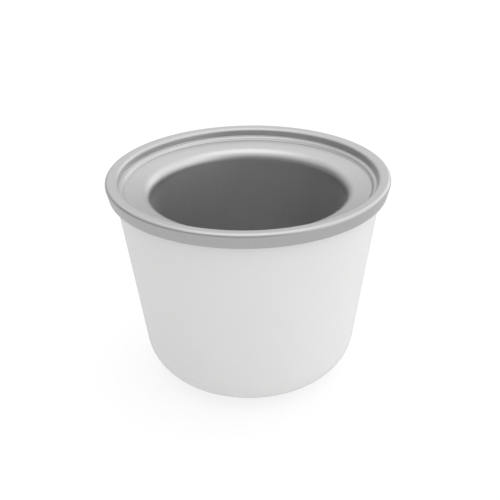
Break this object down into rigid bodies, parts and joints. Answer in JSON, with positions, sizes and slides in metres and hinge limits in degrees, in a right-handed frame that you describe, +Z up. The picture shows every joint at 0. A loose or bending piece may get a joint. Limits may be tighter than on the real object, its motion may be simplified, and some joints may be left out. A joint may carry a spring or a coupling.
{
  "type": "ice cream maker freezer bowl",
  "caption": "Double-walled freezer bowl for an ice cream maker: tapered white shell with rounded base, satin silver rim ring with a lid ledge, and a metal bowl with sealed coolant behind it.",
  "frame": {"origin": "centre of the foot, on the surface that the bowl stands on", "axes": "+Z up along the bowl's axis of revolution; +X and +Y point at and between the drive notches"},
  "size_m": [0.19, 0.19, 0.1455],
  "materials": {
    "white_shell": "gloss",
    "silver_rim": "satin",
    "bowl_aluminium": "satin",
    "seal_rubber": "matte",
    "jacket_plastic": "satin",
    "coolant": "gloss",
    "plug_plastic": "satin",
    "foam": "matte"
  },
  "bodies": {
    "root": {"outer_shell": "white_shell", "rim_ring": "silver_rim", "inner_bowl": "bowl_aluminium", "flange_seal": "seal_rubber", "coolant_jacket": "jacket_plastic", "coolant_gel": "coolant", "fill_plug": "plug_plastic", "fill_plug_seal": "seal_rubber", "insulation_sleeve": "foam", "insulation_pad": "foam"}
  },
  "joints": []
}
